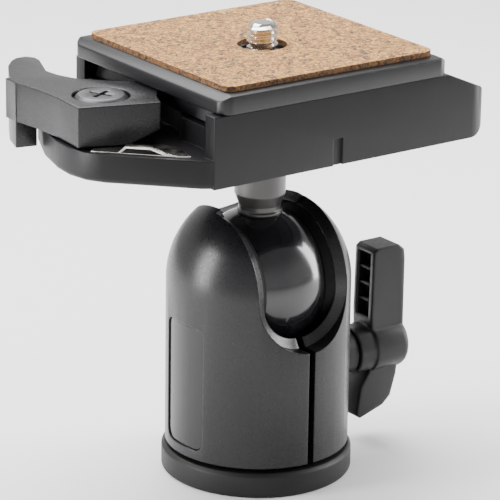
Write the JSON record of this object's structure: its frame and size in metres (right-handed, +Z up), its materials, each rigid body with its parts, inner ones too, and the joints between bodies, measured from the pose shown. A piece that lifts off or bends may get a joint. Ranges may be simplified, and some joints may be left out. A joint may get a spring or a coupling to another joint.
{
  "type": "tripod ball head",
  "caption": "Tripod ball head with split clamping body, side drop notch, wing clamping knob, and a lever-locked receiver holding a cork-topped camera plate.",
  "frame": {"origin": "centre of the tripod socket's mouth, on the underside of the base", "axes": "+Z up along the body's axis, +X along the receiver toward its rounded nose and toward the clamping knob, -Y toward the drop notch"},
  "size_m": [0.0881, 0.0586, 0.0959],
  "materials": {
    "foot_metal": "satin",
    "body_metal": "satin",
    "receiver_metal": "satin",
    "lever_metal": "satin",
    "plate_metal": "satin",
    "stem_metal": "satin",
    "ball_gloss": "gloss",
    "liner": "matte",
    "dark_plastic": "matte",
    "knob_plastic": "matte",
    "label": "satin",
    "cork": "granular matte",
    "steel": "machined",
    "bright_steel": "bright zinc",
    "screw_grey": "satin",
    "brass": "machined"
  },
  "bodies": {
    "housing": {"base_disc": "foot_metal", "base_insert": "steel", "foot_screws": "steel", "shell_left": "body_metal", "shell_right": "body_metal", "seat_left": "liner", "seat_right": "liner", "lower_cup": "liner", "name_plate": "label", "clamp_bolt": "steel", "collar": "dark_plastic"},
    "clamp_knob": {"knob": "knob_plastic", "knob_insert": "brass"},
    "ball_part": {"ball": "ball_gloss"},
    "stem_part": {"stem": "stem_metal"},
    "platform": {"receiver": "receiver_metal", "platform_screw": "steel", "lever_screw": "screw_grey", "lever_washer": "liner", "catch_plate": "bright_steel"},
    "lock_lever": {"lever": "lever_metal"},
    "pin_part": {"trigger_pin": "brass"},
    "top_plate": {"camera_plate": "plate_metal", "cork_pad": "cork"},
    "mount_screw": {"camera_screw": "bright_steel", "retaining_ring": "bright_steel"}
  },
  "joints": [
    {"name": "tilt_side", "type": "hinge", "parent": "housing", "child": "ball_part", "pos_m": [0, 0, 0.0415], "axis": [0, 1, 0], "range_deg": [-10, 10]},
    {"name": "tilt_front", "type": "hinge", "parent": "ball_part", "child": "stem_part", "pos_m": [0, 0, 0.0415], "axis": [1, 0, 0], "range_deg": [-32, 90]},
    {"name": "pan", "type": "hinge", "parent": "stem_part", "child": "platform", "pos_m": [0, 0, 0.0715], "axis": [0, 0, 1], "continuous": true},
    {"name": "lever_swing", "type": "hinge", "parent": "platform", "child": "lock_lever", "pos_m": [-0.0379, 0.0014, 0.082], "axis": [0, 0, 1], "range_deg": [0, 100]},
    {"name": "plate_lift", "type": "slide", "parent": "platform", "child": "top_plate", "axis": [-0.2588, 0, 0.9659], "range_m": [0, 0.0046]},
    {"name": "pin_rise", "type": "slide", "parent": "platform", "child": "pin_part", "axis": [0, 0, 1], "range_m": [0, 0.002]},
    {"name": "screw_turn", "type": "hinge", "parent": "top_plate", "child": "mount_screw", "pos_m": [0, 0, 0.09], "axis": [0, 0, 1], "continuous": true},
    {"name": "knob_turn", "type": "hinge", "parent": "housing", "child": "clamp_knob", "pos_m": [0.03, 0, 0.0203], "axis": [1, 0, 0], "range_deg": [-150, 150]}
  ],
  "couplings": [
    {"joint": "plate_lift", "follows": "lever_swing", "m_per_rad": 0.002633},
    {"joint": "pin_rise", "follows": "lever_swing", "m_per_rad": 0.0011448}
  ]
}
